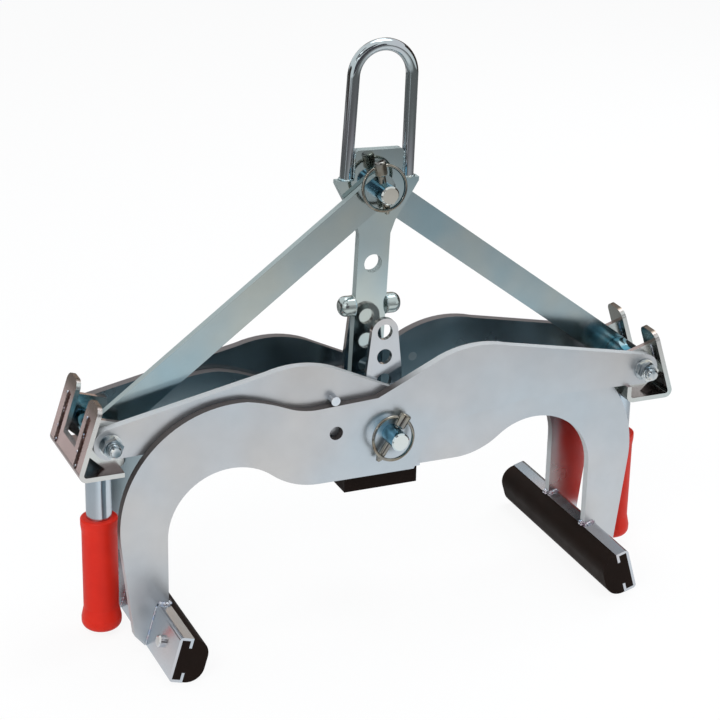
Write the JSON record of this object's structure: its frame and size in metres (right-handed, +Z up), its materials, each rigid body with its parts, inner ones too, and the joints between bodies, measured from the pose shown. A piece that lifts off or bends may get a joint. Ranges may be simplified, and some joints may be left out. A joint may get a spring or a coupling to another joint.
{
  "type": "lifting tongs",
  "caption": "Scissor tongs for lifting kerb stones and slabs: crossed arch-shaped steel arms with rubber-lined jaws, red side handles, a link linkage and a lifting eye.",
  "frame": {"origin": "centre of the footprint, on the ground plane that the two rubber pads and the open tongs stand on", "axes": "+X across the opening from the left jaw to the right jaw, +Y from the front (lynch pin side) to the rear, +Z up to the lifting eye"},
  "size_m": [0.6744, 0.2606, 0.6171],
  "materials": {
    "zinc_arm": "bright zinc, satin",
    "zinc_bar": "zinc, half gloss",
    "zinc_cheek": "zinc, half gloss",
    "zinc_bracket": "zinc with heat tint by the welds",
    "zinc_rail": "zinc, half gloss",
    "eye_steel": "bright zinc, glossy",
    "pin_zinc": "zinc with a faint gold tint",
    "fastener_zinc": "zinc, glossy",
    "grip_red": "smooth, half gloss",
    "rubber": "matte"
  },
  "bodies": {
    "carriage": {"front_latch_cheek": "zinc_cheek", "rear_latch_cheek": "zinc_cheek", "pivot_spacer": "zinc_cheek", "carriage_base_plate": "zinc_cheek", "rubber_buffer": "rubber", "pivot_pin": "pin_zinc", "pivot_lynch_pin": "pin_zinc"},
    "left_arm": {"left_jaw_front_plate": "zinc_arm", "left_jaw_rear_plate": "zinc_arm", "left_jaw_stop_pin": "fastener_zinc", "left_jaw_rail": "zinc_rail", "left_jaw_pad": "rubber", "left_rail_screws": "fastener_zinc", "right_bracket": "zinc_bracket", "right_front_gusset": "zinc_bracket", "right_rear_gusset": "zinc_bracket", "right_bolt_front_spacer": "fastener_zinc", "right_bolt_rear_spacer": "fastener_zinc", "right_bolt_washers": "fastener_zinc", "right_link_bolt": "fastener_zinc", "right_bolt_nut": "fastener_zinc", "right_handle_tube": "zinc_rail", "right_handle_grip": "grip_red"},
    "right_arm": {"right_jaw_front_plate": "zinc_arm", "right_jaw_rear_plate": "zinc_arm", "right_jaw_stop_pin": "fastener_zinc", "right_jaw_rail": "zinc_rail", "right_jaw_pad": "rubber", "right_rail_screws": "fastener_zinc", "left_bracket": "zinc_bracket", "left_front_gusset": "zinc_bracket", "left_rear_gusset": "zinc_bracket", "left_bolt_front_spacer": "fastener_zinc", "left_bolt_rear_spacer": "fastener_zinc", "left_bolt_washers": "fastener_zinc", "left_link_bolt": "fastener_zinc", "left_bolt_nut": "fastener_zinc", "left_handle_tube": "zinc_rail", "left_handle_grip": "grip_red"},
    "top_pin": {"top_pin": "pin_zinc", "top_lynch_pin": "pin_zinc"},
    "left_link": {"left_link": "zinc_bar"},
    "right_link": {"right_link": "zinc_bar"},
    "suspension": {"suspension_bar": "zinc_bar", "left_ear": "zinc_bar", "right_ear": "zinc_bar", "lifting_eye": "eye_steel"},
    "pivot_ring": {"pivot_lynch_ring": "pin_zinc"},
    "top_ring": {"top_lynch_ring": "pin_zinc"}
  },
  "joints": [
    {"name": "left_arm_pivot", "type": "hinge", "parent": "carriage", "child": "left_arm", "pos_m": [0, 0, 0.20612], "axis": [0, -1, 0], "range_deg": [0, 18]},
    {"name": "right_arm_pivot", "type": "hinge", "parent": "carriage", "child": "right_arm", "pos_m": [0, 0, 0.20612], "axis": [0, 1, 0], "range_deg": [0, 18]},
    {"name": "top_pin_rise", "type": "slide", "parent": "carriage", "child": "top_pin", "axis": [0, 0, 1], "range_m": [0, 0.12]},
    {"name": "left_link_pivot", "type": "hinge", "parent": "top_pin", "child": "left_link", "pos_m": [0, 0, 0.46222], "axis": [0, -1, 0], "range_deg": [0, 5.2]},
    {"name": "right_link_pivot", "type": "hinge", "parent": "top_pin", "child": "right_link", "pos_m": [0, 0, 0.46222], "axis": [0, 1, 0], "range_deg": [0, 5.2]},
    {"name": "suspension_swing", "type": "hinge", "parent": "top_pin", "child": "suspension", "pos_m": [0, 0, 0.46222], "axis": [0, 1, 0], "range_deg": [-22.3, 17.7]},
    {"name": "pivot_ring_swing", "type": "hinge", "parent": "carriage", "child": "pivot_ring", "pos_m": [0.01062, -0.06075, 0.22247], "axis": [-0.8387, 0, 0.5446], "range_deg": [0, 110]},
    {"name": "top_ring_swing", "type": "hinge", "parent": "top_pin", "child": "top_ring", "pos_m": [-0.0046, -0.0205, 0.48832], "axis": [-0.9848, 0, -0.1736], "range_deg": [0, 110]}
  ],
  "couplings": [
    {"joint": "right_arm_pivot", "follows": "left_arm_pivot", "ratio": 1},
    {"joint": "top_pin_rise", "follows": "left_arm_pivot", "m_per_rad": 0.3805},
    {"joint": "left_link_pivot", "follows": "left_arm_pivot", "ratio": 0.288},
    {"joint": "right_link_pivot", "follows": "left_arm_pivot", "ratio": 0.288}
  ]
}
